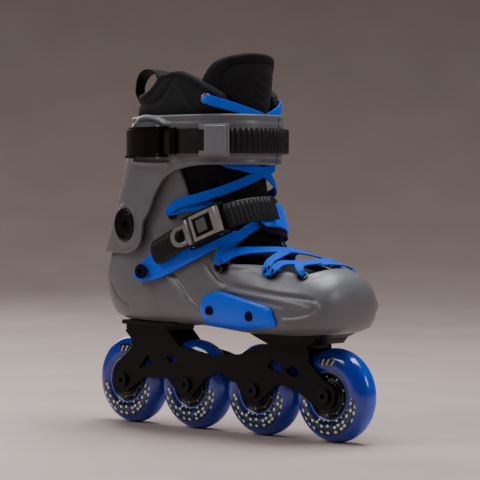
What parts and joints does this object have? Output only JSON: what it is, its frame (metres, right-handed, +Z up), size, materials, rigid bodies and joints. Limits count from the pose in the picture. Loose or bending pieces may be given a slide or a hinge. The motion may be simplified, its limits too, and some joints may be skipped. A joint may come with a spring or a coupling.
{
  "type": "inline skate",
  "caption": "Inline skate for the right foot: hard boot with a hinged cuff, padded liner and laces, buckled straps, and a metal frame with wheels in a line.",
  "frame": {"origin": "on the floor, half way between the middle two axles, in the mid plane of the wheels", "axes": "+X towards the toe, +Y towards the inner side of the right foot, +Z up"},
  "size_m": [0.323, 0.1222, 0.332],
  "materials": {
    "shell_grey": "satin moulded grey",
    "black_plastic": "fine matt black",
    "gloss_black": "polished black",
    "blue_plastic": "smooth blue",
    "grey_plastic": "satin grey",
    "liner_fabric": "black microfibre over foam",
    "lace_fabric": "woven blue",
    "webbing": "woven black webbing",
    "footbed": "cloth over foam",
    "steel": "plain",
    "black_steel": "black oxide",
    "buckle_metal": "satin grey",
    "frame_metal": "black anodised",
    "tyre": "clear blue polyurethane",
    "hub": "black"
  },
  "bodies": {
    "boot": {"boot_shell": "shell_grey", "heel_mount_block": "black_plastic", "toe_mount_block": "black_plastic", "mount_inserts": "steel", "insole": "footbed", "liner": "liner_fabric", "tongue": "liner_fabric", "lace": "lace_fabric", "lace_eyelets": "black_steel", "lace_hooks": "black_steel", "slider_lateral": "blue_plastic", "slider_medial": "blue_plastic", "slider_screws": "black_steel", "strap_lateral": "blue_plastic", "strap_medial": "blue_plastic", "strap_pad": "liner_fabric", "strap_screws": "black_steel", "ankle_ladder": "black_plastic", "ankle_buckle_base": "black_plastic", "ankle_buckle_pins": "steel", "hinge_bolts": "black_steel", "hinge_nuts": "steel", "wheel_frame": "frame_metal", "frame_bolts": "steel", "frame_washers": "steel", "axle_bolts": "black_steel", "bearing_spacers": "steel", "bearing_inner_rings": "steel"},
    "cuff_body": {"cuff": "shell_grey", "hinge_caps": "black_plastic", "cuff_ladder": "black_plastic", "cuff_ladder_rivet": "black_steel", "cuff_guide_loop": "grey_plastic", "cuff_buckle_base": "gloss_black", "cuff_buckle_rivets": "black_steel", "cuff_buckle_pin": "steel", "pull_loop": "webbing", "liner_grommets": "steel"},
    "cuff_lever": {"cuff_buckle_lever": "gloss_black"},
    "ankle_lever": {"ankle_buckle_lever": "buckle_metal", "ankle_buckle_insert": "gloss_black"},
    "release_lever": {"ankle_buckle_release": "buckle_metal"},
    "wheel_1": {"tyre_1": "tyre", "hub_1": "hub", "bearings_1": "steel", "balls_1": "steel"},
    "wheel_2": {"tyre_2": "tyre", "hub_2": "hub", "bearings_2": "steel", "balls_2": "steel"},
    "wheel_3": {"tyre_3": "tyre", "hub_3": "hub", "bearings_3": "steel", "balls_3": "steel"},
    "wheel_4": {"tyre_4": "tyre", "hub_4": "hub", "bearings_4": "steel", "balls_4": "steel"}
  },
  "joints": [
    {"name": "cuff_flex", "type": "hinge", "parent": "boot", "child": "cuff_body", "pos_m": [-0.0875, 0, 0.184], "axis": [0, 1, 0], "range_deg": [-3, 10], "deforming": ["liner", "tongue", "lace"]},
    {"name": "cuff_buckle", "type": "hinge", "parent": "cuff_body", "child": "cuff_lever", "pos_m": [-0.0315, -0.0607, 0.257], "axis": [0, 0, 1], "range_deg": [0, 100]},
    {"name": "ankle_buckle", "type": "hinge", "parent": "boot", "child": "ankle_lever", "pos_m": [0.03032, -0.04986, 0.1891], "axis": [-0.3746, 0, 0.9272], "range_deg": [0, 80]},
    {"name": "ankle_release", "type": "hinge", "parent": "boot", "child": "release_lever", "pos_m": [0.00102, -0.05487, 0.17727], "axis": [-0.3746, 0, 0.9272], "range_deg": [0, 35], "stiffness_Nm_per_rad": 0.02, "springref_deg": -11.46},
    {"name": "wheel_1_spin", "type": "hinge", "parent": "boot", "child": "wheel_1", "pos_m": [-0.1215, 0, 0.04], "axis": [0, 1, 0], "continuous": true},
    {"name": "wheel_2_spin", "type": "hinge", "parent": "boot", "child": "wheel_2", "pos_m": [-0.0405, 0, 0.04], "axis": [0, 1, 0], "continuous": true},
    {"name": "wheel_3_spin", "type": "hinge", "parent": "boot", "child": "wheel_3", "pos_m": [0.0405, 0, 0.04], "axis": [0, 1, 0], "continuous": true},
    {"name": "wheel_4_spin", "type": "hinge", "parent": "boot", "child": "wheel_4", "pos_m": [0.1215, 0, 0.04], "axis": [0, 1, 0], "continuous": true}
  ]
}
